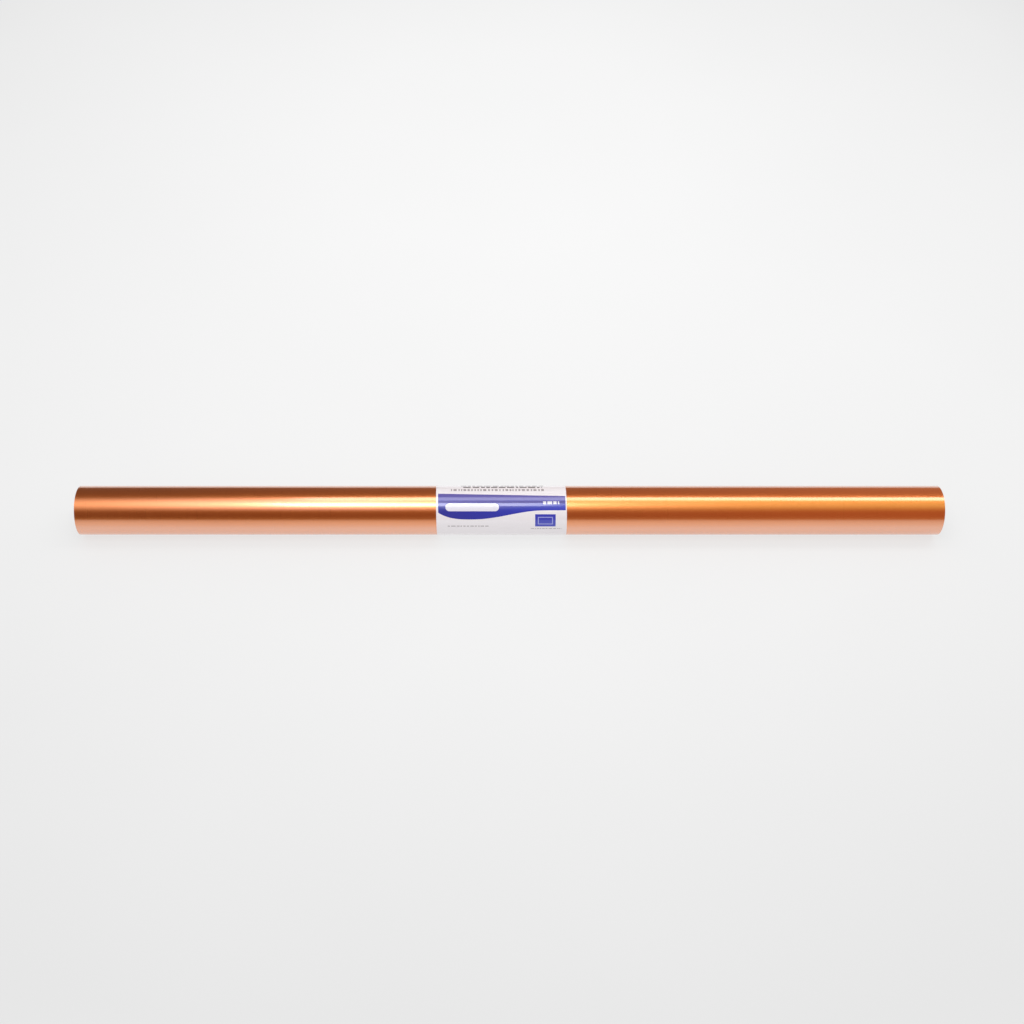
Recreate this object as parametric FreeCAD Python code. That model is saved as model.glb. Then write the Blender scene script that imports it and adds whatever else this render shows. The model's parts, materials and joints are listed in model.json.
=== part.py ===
"""A roll of copper-coloured foil: a paper-backed foil web wound on a paperboard core, closed by a paper band.

Millimetres, +Z up. The roll lies along X and the origin is the middle of the core's axis.
Angles are in degrees about +X, from +Y (the back of the roll) towards +Z (its top), so -Y is the front.
"""
import FreeCAD, Part
import math
import os

OUT_FOLDER = "parts"

# The roll as a whole.
ROLL_LENGTH = 700.0

# The core: three strips of board, spiral-wound on each other and glued, so each is a tube here.
CORE_BORE_RADIUS = 17.0
PLY_THICKNESS = 0.33
PLY_NAMES = ("core_inner_ply", "core_middle_ply", "core_outer_ply")
CORE_RADIUS = CORE_BORE_RADIUS + PLY_THICKNESS * len(PLY_NAMES)

# The patches of tape that stick the web's inner end to the core, and the middle of each along X.
TAPE_THICKNESS = 0.05
TAPE_WIDTH = 12.0
TAPE_LENGTH = 40.0
TAPE_CENTRES = {"start_tape_left": -300.0, "start_tape_middle": 0.0, "start_tape_right": 300.0}

# The web: backing paper on the inside of each turn, foil on the outside, and a little air between turns.
PAPER_THICKNESS = 0.08
FOIL_THICKNESS = 0.02
WEB_THICKNESS = PAPER_THICKNESS + FOIL_THICKNESS
AIR_BETWEEN_TURNS = 0.015
PITCH = WEB_THICKNESS + AIR_BETWEEN_TURNS
WEB_FIRST_RADIUS = CORE_RADIUS + TAPE_THICKNESS + AIR_BETWEEN_TURNS
WEB_LENGTH = 2000.0
TAIL_ANGLE = 15.0

# The band: printed paper that goes once round the roll and is glued to itself at the back.
BAND_WIDTH = 105.0
BAND_LENGTH = 148.0
BAND_THICKNESS = 0.1
BAND_CENTRE_X = -6.4
BAND_CLEARANCE = 0.05
BAND_START_ANGLE = -70.0
RAMP_ANGLE = 8.0
GLUE_THICKNESS = 0.03
GLUE_MARGIN = 2.0

QUARTER = 90.0


def polar(radius, angle, centre=(0.0, 0.0)):
    """The point at this radius and angle from a centre, in the plane x = 0."""
    turn = math.radians(angle)
    y = centre[0] + radius * math.cos(turn)
    z = centre[1] + radius * math.sin(turn)
    return FreeCAD.Vector(0, y, z)


def arc(radius, start, end, centre=(0.0, 0.0), end_radius=None):
    """An arc edge from start to end. With end_radius it drifts outwards or inwards on the way."""
    end_radius = radius if end_radius is None else end_radius
    middle = polar((radius + end_radius) / 2, (start + end) / 2, centre)
    return Part.Arc(polar(radius, start, centre), middle, polar(end_radius, end, centre)).toShape()


def strip(inner_edges, outer_edges, length, centre_x):
    """The solid of a wound strip: the area between two chains of edges, swept along X."""
    start = Part.makeLine(inner_edges[0].Vertexes[0].Point, outer_edges[0].Vertexes[0].Point)
    end = Part.makeLine(inner_edges[-1].Vertexes[-1].Point, outer_edges[-1].Vertexes[-1].Point)
    outline = Part.Wire([start, *outer_edges, end, *reversed(inner_edges)])
    section = Part.Face(outline)
    section.translate(FreeCAD.Vector(centre_x - length / 2, 0, 0))
    return section.extrude(FreeCAD.Vector(length, 0, 0))


def tube(inner_radius, outer_radius, length):
    """A tube about the X axis, centred on the origin."""
    base = FreeCAD.Vector(-length / 2, 0, 0)
    along = FreeCAD.Vector(1, 0, 0)
    return Part.makeCylinder(outer_radius, length, base, along).cut(
        Part.makeCylinder(inner_radius, length, base, along)
    )


def quarter_turns():
    """The web's path as (centre, radius, start angle, end angle) for each quarter turn.

    A spiral of quarter circles: each one is wider than the last by a quarter of the pitch,
    and its centre steps round a small square, so the quarters meet with no corner.
    """
    step = PITCH / 4
    mean_gain = WEB_THICKNESS / 2
    angles = [0.0]
    travelled = 0.0
    while True:
        quarter_length = math.pi / 2 * (WEB_FIRST_RADIUS + mean_gain + step * (len(angles) - 1))
        if travelled + quarter_length >= WEB_LENGTH:
            break
        travelled += quarter_length
        angles.append(angles[-1] + QUARTER)
    last_radius = WEB_FIRST_RADIUS + mean_gain + step * (len(angles) - 1)
    angles.append(angles[-1] + math.degrees((WEB_LENGTH - travelled) / last_radius))
    offset = TAIL_ANGLE - angles[-1]

    first, second = polar(step / 2, offset + QUARTER), polar(step / 2, offset + 2 * QUARTER)
    centre = (first.y + second.y, first.z + second.z)
    path = []
    for index, (start, end) in enumerate(zip(angles, angles[1:])):
        if index:
            back = polar(step, offset + start)
            centre = (centre[0] - back.y, centre[1] - back.z)
        path.append((centre, WEB_FIRST_RADIUS + step * index, offset + start, offset + end))
    return path


def web_layer(path, inner, outer):
    """One layer of the web, between two distances from the web's inner face."""
    chains = []
    for distance in (inner, outer):
        chains.append([arc(radius + distance, start, end, centre) for centre, radius, start, end in path])
    return strip(chains[0], chains[1], ROLL_LENGTH, 0.0)


def tape_patch(web_start_angle, centre_x):
    """A patch of double-sided tape on the core, under the web's inner end."""
    tape_end_angle = web_start_angle + math.degrees(TAPE_WIDTH / CORE_RADIUS)
    inner = [arc(CORE_RADIUS, web_start_angle, tape_end_angle)]
    outer = [arc(CORE_RADIUS + TAPE_THICKNESS, web_start_angle, tape_end_angle)]
    return strip(inner, outer, TAPE_LENGTH, centre_x)


def band(inner_radius):
    """The paper band, with its end lapped over its start, and the glue between the two."""
    lap_radius = inner_radius + BAND_THICKNESS + GLUE_THICKNESS
    start = BAND_START_ANGLE
    ramp = start + 360 - RAMP_ANGLE
    lap = start + 360
    turn_length = math.radians(360) * (inner_radius + BAND_THICKNESS / 2)
    end = lap + math.degrees((BAND_LENGTH - turn_length) / lap_radius)
    quarter = (ramp - start) / 4
    chains = []
    for distance in (0.0, BAND_THICKNESS):
        once = inner_radius + distance
        chain = [arc(once, start + quarter * i, start + quarter * (i + 1)) for i in range(4)]
        chain.append(arc(once, ramp, lap, end_radius=lap_radius + distance))
        chain.append(arc(lap_radius + distance, lap, end))
        chains.append(chain)
    paper = strip(chains[0], chains[1], BAND_WIDTH, BAND_CENTRE_X)

    glue_ends = (start + GLUE_MARGIN, end - 360 - GLUE_MARGIN)
    glue = strip(
        [arc(inner_radius + BAND_THICKNESS, *glue_ends)],
        [arc(lap_radius, *glue_ends)],
        BAND_WIDTH - 2 * GLUE_MARGIN,
        BAND_CENTRE_X,
    )
    return paper, glue


def write(name, shape):
    """Writes one node, after a check of its solids."""
    if not shape.isValid() or not shape.Solids:
        raise ValueError(f"{name} has no valid solid")
    shape.exportStep(os.path.join(OUT_FOLDER, name + ".step"))
    print(f"{name}: {len(shape.Solids)} solid(s), {shape.Volume / 1000:.2f} cm3")


os.makedirs(OUT_FOLDER, exist_ok=True)

for index, name in enumerate(PLY_NAMES):
    ply_radius = CORE_BORE_RADIUS + PLY_THICKNESS * index
    write(name, tube(ply_radius, ply_radius + PLY_THICKNESS, ROLL_LENGTH))

web_path = quarter_turns()
web_start_angle = web_path[0][2]
web_edge = max(polar(radius + WEB_THICKNESS, end, centre).Length for centre, radius, _, end in web_path)
print(f"web: {(web_path[-1][3] - web_start_angle) / 360:.2f} turns, outer radius {web_edge:.3f} mm")
for name, centre_x in TAPE_CENTRES.items():
    write(name, tape_patch(web_start_angle, centre_x))
write("backing_paper", web_layer(web_path, 0.0, PAPER_THICKNESS))
write("copper_foil", web_layer(web_path, PAPER_THICKNESS, WEB_THICKNESS))

band_paper, band_glue = band(web_edge + BAND_CLEARANCE)
write("paper_band", band_paper)
write("band_glue", band_glue)
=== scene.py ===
"""The looks of the copper foil roll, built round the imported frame.

Metres, with the CAD's axes: X along the roll, Z up, the print facing -Y. Angles are radians about X,
from +Y towards +Z. Every sheet here (foil, backing, board, band and ink) is a closed thin slab wrapped
round X.
"""
import json
import math
import random

import bpy
import numpy as np
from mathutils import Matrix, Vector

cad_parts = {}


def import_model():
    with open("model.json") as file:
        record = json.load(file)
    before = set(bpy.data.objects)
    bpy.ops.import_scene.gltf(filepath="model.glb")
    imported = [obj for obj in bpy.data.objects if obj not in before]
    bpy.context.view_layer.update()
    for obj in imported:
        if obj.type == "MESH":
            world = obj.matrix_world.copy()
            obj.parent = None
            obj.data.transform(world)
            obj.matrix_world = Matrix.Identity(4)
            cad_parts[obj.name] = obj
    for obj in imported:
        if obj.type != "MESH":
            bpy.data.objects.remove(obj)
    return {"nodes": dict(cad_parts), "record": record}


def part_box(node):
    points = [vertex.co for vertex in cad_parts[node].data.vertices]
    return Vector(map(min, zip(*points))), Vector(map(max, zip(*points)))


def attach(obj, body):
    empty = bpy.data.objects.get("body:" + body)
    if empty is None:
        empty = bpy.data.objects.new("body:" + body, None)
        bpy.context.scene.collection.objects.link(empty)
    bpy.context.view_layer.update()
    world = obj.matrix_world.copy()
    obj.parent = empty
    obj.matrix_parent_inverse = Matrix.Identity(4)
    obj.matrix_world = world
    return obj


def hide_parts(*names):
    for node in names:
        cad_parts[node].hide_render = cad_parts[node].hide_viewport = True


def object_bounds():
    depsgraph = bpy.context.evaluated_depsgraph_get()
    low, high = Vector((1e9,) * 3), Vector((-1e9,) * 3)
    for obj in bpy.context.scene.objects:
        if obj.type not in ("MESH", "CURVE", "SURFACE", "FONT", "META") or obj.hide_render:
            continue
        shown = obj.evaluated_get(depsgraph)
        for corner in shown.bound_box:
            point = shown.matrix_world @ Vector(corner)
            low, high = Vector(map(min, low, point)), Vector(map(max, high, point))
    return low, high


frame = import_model()
cad_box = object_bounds()

MM = 0.001
FULL_TURN = 2 * math.pi

# What the frame says.
BORE_RADIUS = next(m for m in frame["record"]["mounts"] if m["name"] == "core_bore")["dims"]["r_mm"] * MM
ROLL_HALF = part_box("copper_foil")[1].x
WEB_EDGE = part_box("copper_foil")[1].y
CORE_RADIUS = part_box("core_outer_ply")[1].z
BAND_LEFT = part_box("paper_band")[0].x
BAND_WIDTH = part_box("paper_band")[1].x - BAND_LEFT
FLOOR_HEIGHT = cad_box[0].z

# The wound web, from the part's own sizes.
FOIL = 0.02 * MM
PAPER = 0.08 * MM
PITCH = 0.115 * MM
WEB_START_GAP = 0.065 * MM
TAIL_ANGLE = math.radians(15)
WEB_TURNS = (WEB_EDGE - FOIL - PAPER - WEB_START_GAP - CORE_RADIUS) / PITCH
OUTER_TURNS = 1.2
SEEN_COLUMNS = 70
SEEN_ROWS_PER_TURN = 300
HIDDEN_ROWS_PER_TURN = 120

# The web's long, shallow waves, as shares of SAG: a mean, then each wave's share, radians per metre
# along the roll, count round it, and phase.
SAG = 0.035 * MM
SAG_MEAN = 0.5
SAG_WAVES = ((0.14, 31, 2, 0.7), (0.084, 57, -3, 0), (0.17, 9, 5, 0), (0.085, -17, 8, 1.1))

# How far the turns' edges lie inside the core's end, as shares of UNEVEN_WINDING: a mean, then each
# wave's share, frequency in the winding angle, and phase.
UNEVEN_WINDING = 0.3 * MM
END_MEAN = 0.5
END_WAVES = ((0.3, 0.83, 0), (0.2, 2.9, 1))

# The core's strips, wound in a helix with a hair's gap between neighbours.
STRIP_LEAD = 78 * MM
STRIP_GAP = 0.35 * MM
STRIP_SLIVER = 0.1 * MM
STRIP_COLUMNS = 12
STRIP_ROWS_PER_TURN = 96

# The band.
BAND_PAPER = 0.1 * MM
BAND_GLUE = 0.03 * MM
BAND_LENGTH = 148 * MM
BAND_INSIDE = WEB_EDGE + 0.055 * MM
BAND_OUTSIDE = BAND_INSIDE + BAND_PAPER
BAND_START = math.radians(-70)
LAP_RAMP = math.radians(8)
BAND_SKEW = math.radians(0.8)
FRONT = math.radians(135)
BAND_COLUMNS = 24
BAND_ROWS = 300

# The glue line: how far it stays inside the lap, sideways and round the roll, and its share of the gap.
GLUE_SIDE = 2.5 * MM
GLUE_ENDS = 0.1
GLUE_FILL = (0.05, 0.95)
GLUE_COLUMNS = 12
GLUE_ROWS = 60

# The print. "Across" runs from the band's left edge, "down" from its middle line at FRONT.
# Each layer of ink lies on the one below it.
INK = 0.009 * MM
INK_GAP = 0.003 * MM
INK_ROW = 0.5 * MM
FIRST_LAYER, SECOND_LAYER, THIRD_LAYER = 0, 1, 2
FIELD_SIDES = (1.6 * MM, 0.9 * MM)
WAVE_TOP = (-14.6 * MM, -12.2 * MM)
WAVE_KNOTS = ((0.0, 2.0 * MM), (0.26, 7.6 * MM), (0.84, 0.1 * MM), (1.0, 0.0))
PLATE = (7.5 * MM, 50.5 * MM, -5.6 * MM, 0.8 * MM)
# The stripe is partly a printed line and partly painted shade: a dark band where the gloss shows a gap
# between two reflections.
STRIPE_PRINT_AND_PAINTED_SHADE = (-7.7 * MM, 1.7 * MM)
EMBLEM = (79.5 * MM, 96.0 * MM, 3.2 * MM, 14.2 * MM)
EMBLEM_INSET = 2.2 * MM
EMBLEM_LINE = 0.7 * MM
FIELD_GRID = (140, 48)
PLATE_GRID = (60, 16)
PLATE_TIP = 0.02 * MM
PRINT_SEED = 11

# The rows of plain dashes: ink, left, right, top, height, longest dash and gap in millimetres, and layer.
DASH_ROWS = (
    ("white", 86, 99, -7.3, 2.4, 4, 1.0, THIRD_LAYER),
    ("dark", 20, 88, -28.5, 2.6, 6, 1.3, FIRST_LAYER),
    ("dark", 22, 86, -24.9, 2.4, 6, 1.3, FIRST_LAYER),
    ("grey", 12, 88, -20.5, 2.8, 2.6, 1.3, FIRST_LAYER),
    ("grey", 9, 42, 13.4, 0.9, 4, 0.8, FIRST_LAYER),
    ("grey", 76, 101, 16.2, 0.8, 3, 0.7, FIRST_LAYER),
)


# Meshes -------------------------------------------------------------------------------------------

INNER_FACE, OUTER_FACE, RIM_FACE = 0, 1, 2


def slab_arrays(columns, rows, place):
    """One closed slab as vertices, quads, UVs, each quad's kind and the rim's edges.

    place(u, v, side) gives the points for arrays of u and v from 0 to 1. Side is 0 inside and 1 outside.
    """
    u, v = np.meshgrid(np.linspace(0, 1, columns + 1), np.linspace(0, 1, rows + 1))
    u, v = u.ravel(), v.ravel()
    faces_of = [np.stack(place(u, v, side), axis=1) for side in (0, 1)]
    wide = columns + 1
    count = wide * (rows + 1)
    corner = (np.arange(rows)[:, None] * wide + np.arange(columns)[None, :]).ravel()
    inner = np.stack((corner, corner + wide, corner + wide + 1, corner + 1), axis=1)
    outer = np.stack((corner, corner + 1, corner + wide + 1, corner + wide), axis=1) + count
    bottom = np.arange(columns)
    right = np.arange(rows) * wide + columns
    top = rows * wide + np.arange(columns, 0, -1)
    left = np.arange(rows, 0, -1) * wide
    border = np.concatenate((bottom, right, top, left))
    after = np.roll(border, -1)
    rim = np.stack((border, after, after + count, border + count), axis=1)
    edges = np.concatenate((rim[:, :2], rim[:, 2:]))
    uv = np.tile(np.stack((u, v), axis=1), (2, 1))
    kind = np.repeat((INNER_FACE, OUTER_FACE, RIM_FACE), (len(inner), len(outer), len(rim)))
    return np.concatenate(faces_of), np.concatenate((inner, outer, rim)), uv, kind, edges


def sheet_piece(name, slabs, *materials):
    """A piece made of slabs. A second material, if there is one, goes on the inner faces and the rims."""
    parts = [slab_arrays(*slab) for slab in slabs]
    starts = np.cumsum([0] + [len(part[0]) for part in parts[:-1]])
    points = np.concatenate([part[0] for part in parts])
    quads = np.concatenate([part[1] + start for part, start in zip(parts, starts)])
    uvs = np.concatenate([part[2] for part in parts])
    kind = np.concatenate([part[3] for part in parts])
    rims = np.concatenate([part[4] + start for part, start in zip(parts, starts)])

    mesh = bpy.data.meshes.new(name)
    mesh.from_pydata(points.tolist(), [], quads.tolist())
    layer = mesh.uv_layers.new(name="Sheet")
    layer.data.foreach_set("uv", uvs[quads.ravel()].ravel())
    mesh.polygons.foreach_set("use_smooth", kind != RIM_FACE)
    edges = np.empty(len(mesh.edges) * 2, int)
    mesh.edges.foreach_get("vertices", edges)
    edges = np.sort(edges.reshape(-1, 2), axis=1) @ (len(points), 1)
    sharp = np.isin(edges, np.sort(rims, axis=1) @ (len(points), 1))
    mesh.edges.foreach_set("use_edge_sharp", sharp)
    for material in materials:
        mesh.materials.append(material)
    if len(materials) > 1:
        mesh.polygons.foreach_set("material_index", (kind != OUTER_FACE).astype(int))
    mesh.update()
    piece = bpy.data.objects.new(name, mesh)
    bpy.context.scene.collection.objects.link(piece)
    return piece


def around(x, radius, angle):
    """Points on a circle about the roll's axis."""
    return x, radius * np.cos(angle), radius * np.sin(angle)


def stand_for(piece, body, slot, *nodes):
    """Puts a piece on its body in place of its CAD nodes; its slot is not used."""
    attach(piece, body)
    if nodes:
        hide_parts(*nodes)
    return piece


# The wound web ------------------------------------------------------------------------------------

def sag(x, angle):
    """How far the web stands off a true spiral, as loosely wound foil does."""
    waves = sum(
        share * np.sin(along * x + around_roll * angle + phase)
        for share, along, around_roll, phase in SAG_WAVES
    )
    return SAG * (SAG_MEAN + waves)


def web_end(angle):
    """How far a turn's edge lies inside the cut end of the core."""
    waves = sum(share * np.sin(rate * angle + phase) for share, rate, phase in END_WAVES)
    return UNEVEN_WINDING * (END_MEAN + waves)


def web_place(first_turn, last_turn, below, above):
    """Where a layer of the web lies, between two depths under the web's outside.

    Turns count back from the tail. The web's two edges wander apart from each other.
    """
    def place(u, v, side):
        angle = TAIL_ANGLE - FULL_TURN * (last_turn + (first_turn - last_turn) * v)
        depth = above if side else below
        spiral = WEB_EDGE - depth + PITCH * (angle - TAIL_ANGLE) / FULL_TURN
        x = (2 * u - 1) * (ROLL_HALF - web_end(angle + np.sign(u - 0.5)))
        share = (spiral - CORE_RADIUS) / (WEB_EDGE - CORE_RADIUS)
        return around(x, spiral + share * sag(x, angle), angle)
    return place


def wound_web(materials):
    """The foil's outer turn, its inner turns, and the backing paper under all of them."""
    outer = web_place(0, OUTER_TURNS, FOIL, 0)
    inner = web_place(OUTER_TURNS, WEB_TURNS, FOIL, 0)
    backing = web_place(0, WEB_TURNS, FOIL + PAPER, FOIL)
    outer_rows = round(OUTER_TURNS * SEEN_ROWS_PER_TURN)
    inner_rows = round((WEB_TURNS - OUTER_TURNS) * HIDDEN_ROWS_PER_TURN)
    backing_rows = round(WEB_TURNS * HIDDEN_ROWS_PER_TURN)
    pieces = (
        sheet_piece("foil_outer_turn", [(SEEN_COLUMNS, outer_rows, outer)], materials["foil"]),
        sheet_piece("foil_inner_turns", [(1, inner_rows, inner)], materials["foil"]),
    )
    for piece in pieces:
        stand_for(piece, "roll", "foil", "copper_foil")
    paper = sheet_piece("backing_web", [(1, backing_rows, backing)], materials["backing"])
    stand_for(paper, "roll", "backing", "backing_paper")


# The core -----------------------------------------------------------------------------------------

def strip_place(inner_radius, outer_radius, phase, turns):
    """A strip of board wound in a helix, cut off square at the ends of the roll."""
    def place(u, v, side):
        angle = FULL_TURN * turns * v
        low = -ROLL_HALF - STRIP_LEAD * (1 + phase) + STRIP_LEAD * angle / FULL_TURN
        high = low + STRIP_LEAD - STRIP_GAP
        low = np.clip(low, -ROLL_HALF, ROLL_HALF - STRIP_SLIVER)
        high = np.clip(high, -ROLL_HALF + STRIP_SLIVER, ROLL_HALF)
        return around(low + (high - low) * u, outer_radius if side else inner_radius, angle)
    return place


def core(materials):
    """Three plies of board, each a helical strip, with their seams set apart."""
    names = ("core_inner_ply", "core_middle_ply", "core_outer_ply")
    ply = (CORE_RADIUS - BORE_RADIUS) / len(names)
    for number, node in enumerate(names):
        phase = number / len(names)
        turns = 2 * ROLL_HALF / STRIP_LEAD + 1 + phase
        inside = BORE_RADIUS + ply * number
        place = strip_place(inside, inside + ply, phase, turns)
        slab = (STRIP_COLUMNS, round(turns * STRIP_ROWS_PER_TURN), place)
        piece = sheet_piece(node.replace("ply", "board"), [slab], materials["board"])
        stand_for(piece, "roll", "core_board", node)


def start_tape(materials):
    """The tape that holds the web to the core keeps its CAD shape and gets its material."""
    for name, node in frame["nodes"].items():
        if name.startswith("start_tape"):
            for slot in node.material_slots:
                slot.material = materials["tape"]


# The band and its print ---------------------------------------------------------------------------

def band_shift(angle):
    """How far the band has crept along the roll at this angle, from being wrapped a little askew."""
    return math.tan(BAND_SKEW) * (angle - FRONT) * BAND_OUTSIDE


def band_radius(angle):
    """The inside of the band: round, then up over its own start."""
    rise = (angle - (BAND_START + FULL_TURN - LAP_RAMP)) / LAP_RAMP
    rise = np.clip(rise, 0, 1)
    return BAND_INSIDE + (BAND_PAPER + BAND_GLUE) * rise * rise * (3 - 2 * rise)


def band_lap():
    """The angle over which the band's end lies on its start."""
    spare = BAND_LENGTH - FULL_TURN * (BAND_INSIDE + BAND_PAPER / 2)
    return spare / (BAND_OUTSIDE + BAND_GLUE)


def band_place(u, v, side):
    """The paper of the band."""
    angle = BAND_START + (FULL_TURN + band_lap()) * v
    x = BAND_LEFT + BAND_WIDTH * u + band_shift(angle)
    return around(x, band_radius(angle) + BAND_PAPER * side, angle)


def glue_place(u, v, side):
    """The glue in the lap, between the band's start and its end."""
    angle = BAND_START + GLUE_ENDS + (band_lap() - 2 * GLUE_ENDS) * v
    x = BAND_LEFT + GLUE_SIDE + (BAND_WIDTH - 2 * GLUE_SIDE) * u
    return around(x, BAND_OUTSIDE + BAND_GLUE * GLUE_FILL[side], angle)


def on_band(across, down, side, layer=FIRST_LAYER):
    """A point of ink on the band's face."""
    angle = FRONT + down / BAND_OUTSIDE
    height = layer * (INK + INK_GAP) + INK_GAP + INK * side
    return around(BAND_LEFT + across + band_shift(angle), BAND_OUTSIDE + height, angle)


def patch(left, right, top, bottom, layer=FIRST_LAYER):
    """A rectangle of ink, in rows fine enough to follow the band's curve."""
    def place(u, v, side):
        return on_band(left + (right - left) * u, top + (bottom - top) * v, side, layer)
    return 1, max(1, round((bottom - top) / INK_ROW)), place


def wave_edge(u):
    """The lower edge of the coloured field: it dips early, then climbs to level out."""
    (_, start), (dip_at, dip), (level_at, level), (_, end) = WAVE_KNOTS
    falling = start + (dip - start) * (1 - (1 - np.clip(u / dip_at, 0, 1)) ** 3)
    climb = np.clip((u - dip_at) / (level_at - dip_at), 0, 1)
    rising = dip + (level - dip) * (1 - np.cos(math.pi * climb)) / 2
    run_out = (end - level) * np.clip((u - level_at) / (1 - level_at), 0, 1)
    return np.where(u < dip_at, falling, rising + run_out)


def wave_place(u, v, side):
    """The coloured field across the band."""
    top = WAVE_TOP[0] + (WAVE_TOP[1] - WAVE_TOP[0]) * u
    left, right = FIELD_SIDES
    return on_band(left + (BAND_WIDTH - left - right) * u, top + (wave_edge(u) - top) * v, side)


def plate_place(u, v, side):
    """A plain bar with round ends, where a name would be printed."""
    left, right, top, bottom = PLATE
    radius = (bottom - top) / 2
    across = (right - left) * (1 - np.cos(math.pi * u)) / 2
    from_end = np.minimum(across, right - left - across)
    inside = np.clip(radius - from_end, 0, radius)
    half = np.maximum(np.sqrt(radius**2 - inside**2), PLATE_TIP)
    return on_band(left + across, (top + bottom) / 2 + half * (2 * v - 1), side, THIRD_LAYER)


def emblem_frame():
    """Four thin bars that make a rectangle inside the emblem."""
    line = EMBLEM_LINE
    left, right, top, bottom = EMBLEM
    left, right = left + EMBLEM_INSET, right - EMBLEM_INSET
    top, bottom = top + EMBLEM_INSET, bottom - EMBLEM_INSET
    return [
        patch(left, right, top, top + line, SECOND_LAYER),
        patch(left, right, bottom - line, bottom, SECOND_LAYER),
        patch(left, left + line, top + line, bottom - line, SECOND_LAYER),
        patch(right - line, right, top + line, bottom - line, SECOND_LAYER),
    ]


def dash_row(chance, left, right, top, height, longest, gap, layer):
    """A line of plain dashes in place of small print."""
    made = []
    across = left
    while across < right:
        end = min(across + longest * chance.uniform(0.3, 1), right)
        made.append(patch(across, end, top, top + height, layer))
        across = end + gap * chance.uniform(0.7, 1.3)
    return made


def dashes():
    """Every row of dashes, by ink."""
    chance = random.Random(PRINT_SEED)
    made = {}
    for ink_name, *sizes, layer in DASH_ROWS:
        row = dash_row(chance, *(size * MM for size in sizes), layer)
        made.setdefault(ink_name, []).extend(row)
    return made


def band(materials):
    """The printed paper band with its glue line."""
    faces = materials["gloss_paper"], materials["plain_paper"]
    paper = sheet_piece("printed_band", [(BAND_COLUMNS, BAND_ROWS, band_place)], *faces)
    stand_for(paper, "band", "band_paper", "paper_band")
    glue = sheet_piece("lap_glue", [(GLUE_COLUMNS, GLUE_ROWS, glue_place)], materials["glue"])
    stand_for(glue, "band", "glue", "band_glue")


def band_print(materials):
    """The band's print, one piece for each colour."""
    rows = dashes()
    stripe_top, stripe_height = STRIPE_PRINT_AND_PAINTED_SHADE
    field_left, field_right = FIELD_SIDES[0], BAND_WIDTH - FIELD_SIDES[1]
    # Painted shade in part: the stripe darkens the gap between the band's two reflections.
    stripe = patch(field_left, field_right, stripe_top, stripe_top + stripe_height, SECOND_LAYER)
    inks = {
        "print_field": ([(*FIELD_GRID, wave_place)], "ink_blue_and_painted_reflection"),
        "print_stripe_and_painted_shade": ([stripe], "ink_violet_and_painted_shade"),
        "print_white_bars": ([(*PLATE_GRID, plate_place)] + rows["white"], "ink_white"),
        "print_emblem": ([patch(*EMBLEM)], "ink_emblem"),
        "print_pale_lines": (emblem_frame(), "ink_pale"),
        "print_dark_lines": (rows["dark"], "ink_dark"),
        "print_grey_lines": (rows["grey"], "ink_grey"),
    }
    for name, (slabs, ink_name) in inks.items():
        stand_for(sheet_piece(name, slabs, materials[ink_name]), "band", "band_paper")


# Materials ----------------------------------------------------------------------------------------

NOISE_MIDDLE = (0.3, 0.7)


class Nodes:
    """A node tree, with a few short ways to build it."""

    def __init__(self, tree):
        self.tree = tree

    def add(self, kind, **settings):
        node = self.tree.nodes.new(kind)
        for name, value in settings.items():
            setattr(node, name, value)
        return node

    def link(self, output, socket):
        self.tree.links.new(output, socket)

    def spread(self, source, span, result=(0, 1)):
        """Maps a span of the source to a range of values."""
        node = self.add("ShaderNodeMapRange")
        for socket, value in zip(("From Min", "From Max", "To Min", "To Max"), (*span, *result)):
            node.inputs[socket].default_value = value
        self.link(source, node.inputs["Value"])
        return node.outputs["Result"]

    def ramp(self, source, *stops, interpolation="LINEAR"):
        """A colour ramp through (position, colour) stops."""
        node = self.add("ShaderNodeValToRGB")
        node.color_ramp.interpolation = interpolation
        elements = node.color_ramp.elements
        while len(elements) < len(stops):
            elements.new(0.5)
        for element, (position, colour) in zip(elements, stops):
            element.position = position
            element.color = (*colour, 1)
        self.link(source, node.inputs["Fac"])
        return node.outputs["Color"]


class Shading(Nodes):
    """A Principled material, driven by noise."""

    def __init__(self, name, **sockets):
        self.material = bpy.data.materials.new(name)
        self.material.use_nodes = True
        super().__init__(self.material.node_tree)
        self.shader = self.tree.nodes["Principled BSDF"]
        for socket, value in sockets.items():
            self.shader.inputs[socket.replace("_", " ")].default_value = value
        self.place = self.add("ShaderNodeTexCoord").outputs["Object"]

    def noise(self, stretch, detail=3.0, roughness=0.55):
        """Noise with its own scale per axis, in patterns per metre."""
        mapping = self.add("ShaderNodeMapping")
        mapping.inputs["Scale"].default_value = stretch
        self.link(self.place, mapping.inputs["Vector"])
        texture = self.add("ShaderNodeTexNoise")
        texture.inputs["Scale"].default_value = 1.0
        texture.inputs["Detail"].default_value = detail
        texture.inputs["Roughness"].default_value = roughness
        self.link(mapping.outputs["Vector"], texture.inputs["Vector"])
        return texture.outputs["Fac"]

    def colour(self, output):
        self.link(output, self.shader.inputs["Base Color"])

    def roughness(self, noise, low, high):
        self.link(self.spread(noise, NOISE_MIDDLE, (low, high)), self.shader.inputs["Roughness"])

    def bump(self, source, height, strength=1.0):
        node = self.add("ShaderNodeBump")
        node.inputs["Strength"].default_value = strength
        node.inputs["Distance"].default_value = height
        self.link(source, node.inputs["Height"])
        self.link(node.outputs["Normal"], self.shader.inputs["Normal"])


FOIL_COAT = {"Coat_Roughness": 0.12, "Coat_IOR": 3.2, "Sheen_Weight": 0.14, "Sheen_Roughness": 0.4}


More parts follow.
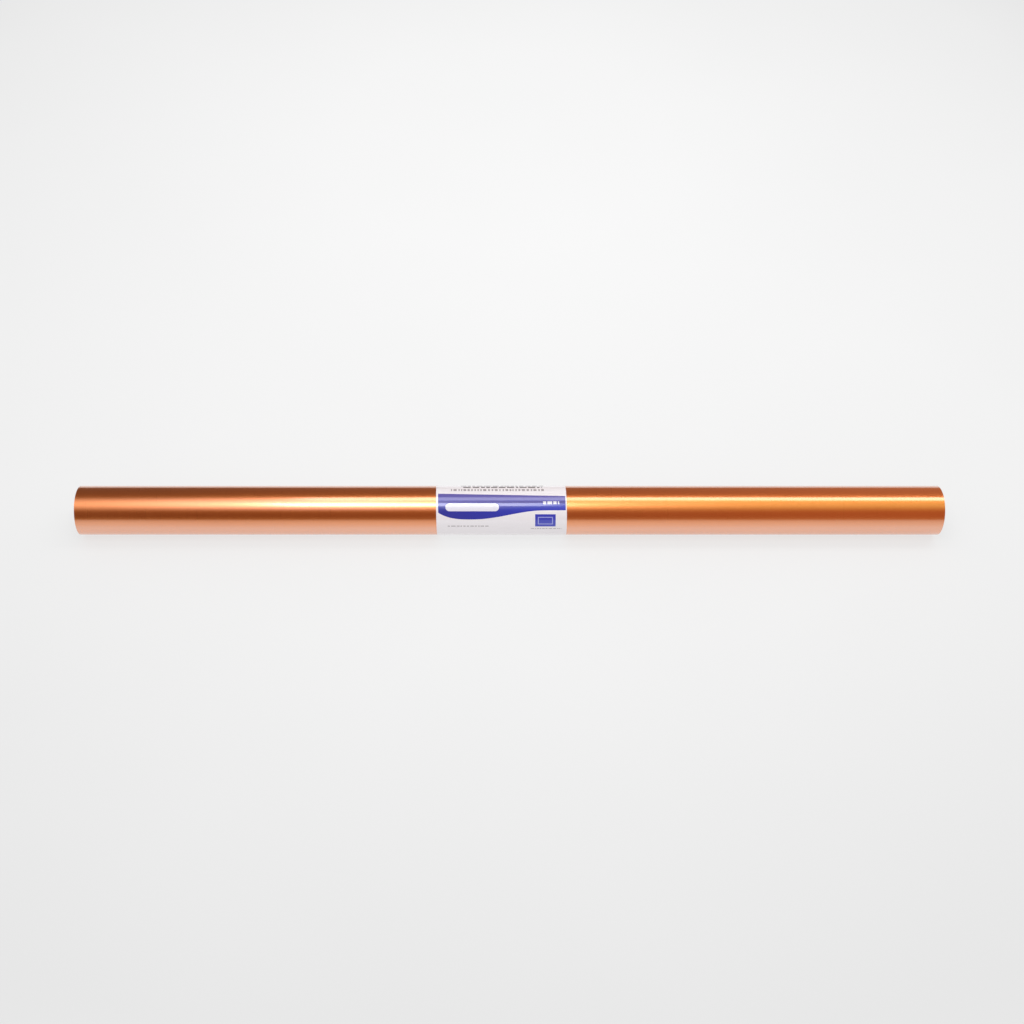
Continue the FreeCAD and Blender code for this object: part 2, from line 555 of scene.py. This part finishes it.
def copper_foil():
    """Satin copper with a clear coat that shows most at a slant, and faint rolling lines round the roll."""
    look = Shading("copper foil", Metallic=1.0, **FOIL_COAT)
    slant = look.add("ShaderNodeLayerWeight").outputs["Facing"]
    look.link(look.spread(slant, (0.10, 0.33), (0.28, 1.0)), look.shader.inputs["Coat Weight"])
    cloud = look.noise((6, 40, 40))
    look.colour(look.ramp(cloud, (0.3, (0.80, 0.255, 0.065)), (0.7, (0.84, 0.285, 0.085))))
    lines = look.noise((2600, 30, 30), detail=4.0, roughness=0.7)
    look.roughness(lines, 0.27, 0.33)
    look.bump(lines, 0.002 * MM, 0.25)
    return look.material


def board():
    """Grey-brown recycled board with fibres and flecks."""
    look = Shading("core board", Specular_IOR_Level=0.25)
    fibre = look.noise((900, 2600, 2600), detail=6.0, roughness=0.7)
    flecks, body, pale = (0.21, 0.14, 0.085), (0.40, 0.295, 0.19), (0.54, 0.43, 0.31)
    look.colour(look.ramp(fibre, (0.25, flecks), (0.5, body), (0.8, pale)))
    look.roughness(fibre, 0.8, 0.95)
    look.bump(fibre, 0.05 * MM, 0.6)
    return look.material


def backing():
    """Smooth off-white release paper."""
    look = Shading("backing paper", Specular_IOR_Level=0.4)
    fibre = look.noise((1800, 1800, 1800), detail=5.0)
    look.colour(look.ramp(fibre, (0.3, (0.70, 0.67, 0.60)), (0.7, (0.82, 0.80, 0.74))))
    look.roughness(fibre, 0.5, 0.65)
    look.bump(fibre, 0.01 * MM, 0.3)
    return look.material


GLOSS = {"Coat_Weight": 1.0, "Coat_Roughness": 0.10, "Coat_IOR": 1.58, "Specular_IOR_Level": 0.3}


def gloss_paper():
    """The printed side of the band: coated white paper."""
    look = Shading("coated paper", **GLOSS)
    fibre = look.noise((1500, 1500, 1500), detail=5.0)
    look.colour(look.ramp(fibre, (0.3, (0.79, 0.75, 0.775)), (0.7, (0.84, 0.80, 0.825))))
    look.roughness(look.noise((300, 300, 300)), 0.30, 0.38)
    look.bump(fibre, 0.004 * MM, 0.2)
    return look.material


def plain_paper():
    """The band's uncoated inside and its cut edges."""
    look = Shading("uncoated paper", Specular_IOR_Level=0.25)
    fibre = look.noise((1400, 2200, 2200), detail=6.0)
    look.colour(look.ramp(fibre, (0.3, (0.76, 0.73, 0.68)), (0.7, (0.86, 0.84, 0.79))))
    look.roughness(fibre, 0.75, 0.9)
    look.bump(fibre, 0.02 * MM, 0.4)
    return look.material


def ink(name, light, dark):
    """Printed ink under the band's gloss, between two close shades."""
    look = Shading(name, **GLOSS)
    screen = look.noise((2400, 2400, 2400), detail=2.0)
    look.colour(look.ramp(screen, (0.35, dark), (0.65, light)))
    look.roughness(screen, 0.30, 0.38)
    return look.material


def field_ink():
    """The blue field's ink: violet along the top, deep blue along the wave and deepest at the left. The
    pale violet along the top is partly the print's own gradient and partly a painted reflection.
    """
    look = Shading("blue ink and painted reflection", **GLOSS)
    sheet = look.add("ShaderNodeUVMap", uv_map="Sheet")
    split = look.add("ShaderNodeSeparateXYZ")
    look.link(sheet.outputs["UV"], split.inputs["Vector"])
    blend = look.add("ShaderNodeMix", data_type="RGBA")
    look.link(split.outputs["X"], blend.inputs["Factor"])
    # The top colour holds a painted reflection as well as the print's violet: it is paler and greyer than
    # the ink alone.
    violet, between = (0.12, 0.105, 0.36), (0.06, 0.06, 0.40)
    for side, blue in (("A", (0.018, 0.028, 0.29)), ("B", (0.016, 0.032, 0.46))):
        down = look.ramp(split.outputs["Y"], (0.0, violet), (0.5, between), (0.72, blue))
        look.link(down, blend.inputs[side])
    look.colour(blend.outputs["Result"])
    look.roughness(look.noise((300, 300, 300)), 0.30, 0.38)
    return look.material


def soft_plastic(name, colour):
    """Tape and glue: faintly uneven stuff that never shows on its own."""
    look = Shading(name)
    cloud = look.noise((500, 500, 500))
    darker = tuple(0.85 * part for part in colour)
    look.colour(look.ramp(cloud, (0.3, darker), (0.7, colour)))
    look.roughness(cloud, 0.3, 0.5)
    return look.material


def make_materials():
    return {
        "foil": copper_foil(),
        "board": board(),
        "backing": backing(),
        "gloss_paper": gloss_paper(),
        "plain_paper": plain_paper(),
        "glue": soft_plastic("glue", (0.80, 0.78, 0.70)),
        "tape": soft_plastic("tape", (0.78, 0.76, 0.68)),
        "ink_blue_and_painted_reflection": field_ink(),
        # The stripe's ink, made dark enough to hold painted shade as well as print.
        "ink_violet_and_painted_shade": ink("violet ink and painted shade", (0.062, 0.05, 0.30), (0.05, 0.04, 0.27)),
        "ink_white": ink("white ink", (0.74, 0.72, 0.80), (0.70, 0.68, 0.76)),
        "ink_emblem": ink("emblem ink", (0.034, 0.045, 0.46), (0.026, 0.036, 0.42)),
        "ink_pale": ink("pale ink", (0.34, 0.36, 0.72), (0.30, 0.32, 0.68)),
        "ink_dark": ink("dark ink", (0.12, 0.11, 0.12), (0.08, 0.075, 0.08)),
        "ink_grey": ink("grey ink", (0.40, 0.37, 0.38), (0.34, 0.31, 0.32)),
    }


# Studio -------------------------------------------------------------------------------------------

CAMERA_DISTANCE = 1.100
CAMERA_ELEVATION = math.radians(45)
CAMERA_X = -0.0260
CAMERA_LENS = 47.28
CAMERA_SHIFT = (0.0341, -0.0017)
SENSOR_WIDTH = 36.0

# Two long soft lights parallel to the roll: their elevation in degrees seen from the roll, then metres.
LIGHT_DISTANCE = 1.0
LIGHTS = {
    "front softbox": {"elevation": 70, "width": 0.31, "left": -0.339, "right": 0.092, "radiance": 6.5},
    "back strip": {"elevation": 99.5, "width": 0.29, "left": -0.300, "right": 1.3, "radiance": 3.0},
}

# The reflected room and its soft panel, by how far to the side they lie (-1 far left, 1 far right), in
# units of the panel's strength. The panel fades in and out between its three elevations, in degrees.
PALE_WORLD = (0.75, 0.75, 0.75, 1)
PANEL_STRENGTH = 6.0
PANEL_ELEVATIONS = (38, 75, 112)
ROOM = (
    (-0.90, (0.090, 0.058, 0.038)),
    (-0.40, (0.028, 0.0115, 0.004)),
    (-0.27, (0.028, 0.0115, 0.004)),
    (-0.04, (0.042, 0.0165, 0.006)),
    (0.31, (0.075, 0.029, 0.011)),
    (0.42, (0.075, 0.029, 0.011)),
    (0.90, (0.100, 0.064, 0.042)),
)
PANEL = (
    (-0.27, (0.145, 0.14, 0.13)),
    (-0.20, (0.31, 0.31, 0.35)),
    (-0.13, (0.60, 0.60, 0.80)),
    (-0.06, (0.60, 0.60, 0.80)),
    (-0.01, (0.20, 0.20, 0.18)),
    (0.07, (0.18, 0.18, 0.11)),
    (0.17, (0.16, 0.155, 0.06)),
)

# The floor's painted light: its own emission, set by nearness to its brightest point behind the roll.
TABLE_REACH = 6.0
PAINTED_POOL_SHIFT = (0, -0.41, 0)
PAINTED_POOL_SCALE = (0.75, 0.65, 1)
PAINTED_GLOW_STRENGTH = 0.796
PAINTED_GLOW_LEVELS = ((0.3, 0.765), (0.5, 0.865), (0.85, 0.955))


def camera():
    """Square on to the roll, opposite a point left of its middle, with a small shift to centre it."""
    data = bpy.data.cameras.new("camera")
    data.lens = CAMERA_LENS
    data.sensor_width = SENSOR_WIDTH
    data.shift_x, data.shift_y = CAMERA_SHIFT
    view = bpy.data.objects.new("camera", data)
    back, up = math.cos(CAMERA_ELEVATION), math.sin(CAMERA_ELEVATION)
    view.location = (CAMERA_X, -CAMERA_DISTANCE * back, CAMERA_DISTANCE * up)
    view.rotation_euler = (math.pi / 2 - CAMERA_ELEVATION, 0, 0)
    bpy.context.scene.collection.objects.link(view)
    bpy.context.scene.camera = view


def strip_light(name, elevation, width, left, right, radiance):
    """A long soft light above the roll and parallel to it, at this elevation seen from the roll."""
    data = bpy.data.lights.new(name, "AREA")
    data.shape = "RECTANGLE"
    data.size, data.size_y = right - left, width
    data.energy = radiance * math.pi * data.size * data.size_y
    light = bpy.data.objects.new(name, data)
    angle = math.radians(elevation)
    nearer, higher = LIGHT_DISTANCE * math.cos(angle), LIGHT_DISTANCE * math.sin(angle)
    light.location = ((left + right) / 2, -nearer, higher)
    light.rotation_euler = (angle - math.pi / 2, 0, 0)
    light.visible_camera = False
    bpy.context.scene.collection.objects.link(light)


def grey(level):
    return level, level, level


def floor():
    """A plain pale floor that gives off painted light, brightest in a painted patch behind the roll. The
    same light also lightens the roll's contact shadow.
    """
    mesh = bpy.data.meshes.new("floor")
    corners = ((-1, -1), (1, -1), (1, 1), (-1, 1))
    points = [(x * TABLE_REACH, y * TABLE_REACH, FLOOR_HEIGHT) for x, y in corners]
    mesh.from_pydata(points, [], [(0, 1, 2, 3)])
    look = Shading("floor", Specular_IOR_Level=0.0, Roughness=1.0, Emission_Strength=PAINTED_GLOW_STRENGTH)
    look.colour(look.ramp(look.noise((3, 3, 3)), (0.3, grey(0.165)), (0.7, grey(0.175))))
    pool = look.add("ShaderNodeMapping")
    pool.inputs["Location"].default_value = PAINTED_POOL_SHIFT
    pool.inputs["Scale"].default_value = PAINTED_POOL_SCALE
    look.link(look.place, pool.inputs["Vector"])
    # Painted light: the floor's emission is brightest behind the roll and fades towards its edges.
    nearness = look.add("ShaderNodeTexGradient", gradient_type="SPHERICAL")
    look.link(pool.outputs["Vector"], nearness.inputs["Vector"])
    glow = look.ramp(nearness.outputs["Fac"], *((place, grey(level)) for place, level in PAINTED_GLOW_LEVELS))
    look.link(glow, look.shader.inputs["Emission Color"])
    mesh.materials.append(look.material)
    piece = bpy.data.objects.new("floor", mesh)
    bpy.context.scene.collection.objects.link(piece)


class Sky(Nodes):
    """The world's nodes, with the direction of each ray as two numbers from 0 to 1."""

    def __init__(self):
        self.world = bpy.data.worlds.new("room")
        self.world.use_nodes = True
        super().__init__(self.world.node_tree)
        split = self.add("ShaderNodeSeparateXYZ")
        self.link(self.add("ShaderNodeTexCoord").outputs["Generated"], split.inputs["Vector"])
        forward = self.add("ShaderNodeMath", operation="MULTIPLY")
        forward.inputs[1].default_value = -1
        self.link(split.outputs["Y"], forward.inputs[0])
        height = self.add("ShaderNodeMath", operation="ARCTAN2")
        self.link(split.outputs["Z"], height.inputs[0])
        self.link(forward.outputs["Value"], height.inputs[1])
        self.across = self.spread(split.outputs["X"], (-1, 1))
        self.elevation = self.spread(height.outputs["Value"], (0, math.pi))

    def by_side(self, stops):
        """A colour for each direction, from stops that run from -1 far left to 1 far right."""
        placed = [((1 + side) / 2, colour) for side, colour in stops]
        return self.ramp(self.across, *placed, interpolation="EASE")

    def by_elevation(self, *stops):
        """A colour for each direction, from stops in degrees above the front horizon."""
        placed = [(angle / 180, colour) for angle, colour in stops]
        return self.ramp(self.elevation, *placed, interpolation="EASE")


def world():
    """Pale all round, but shiny things reflect a dim warm room with one soft panel overhead."""
    sky = Sky()
    low, middle, high = PANEL_ELEVATIONS
    mix = sky.add("ShaderNodeMix", data_type="RGBA")
    sky.link(sky.by_elevation((low, grey(0)), (middle, grey(1)), (high, grey(0))), mix.inputs["Factor"])
    sky.link(sky.by_side(ROOM), mix.inputs["A"])
    sky.link(sky.by_side(PANEL), mix.inputs["B"])
    reflected = sky.add("ShaderNodeBackground")
    reflected.inputs["Strength"].default_value = PANEL_STRENGTH
    sky.link(mix.outputs["Result"], reflected.inputs["Color"])
    pale = sky.add("ShaderNodeBackground")
    pale.inputs["Color"].default_value = PALE_WORLD
    path = sky.add("ShaderNodeLightPath")
    either = sky.add("ShaderNodeMixShader")
    sky.link(path.outputs["Is Glossy Ray"], either.inputs[0])
    sky.link(pale.outputs["Background"], either.inputs[1])
    sky.link(reflected.outputs["Background"], either.inputs[2])
    sky.link(either.outputs["Shader"], sky.tree.nodes["World Output"].inputs["Surface"])
    bpy.context.scene.world = sky.world


def studio():
    camera()
    floor()
    world()
    for name, light in LIGHTS.items():
        strip_light(name, **light)
    bpy.context.scene.view_settings.view_transform = "Standard"


looks = make_materials()
wound_web(looks)
core(looks)
band(looks)
band_print(looks)
start_tape(looks)
studio()
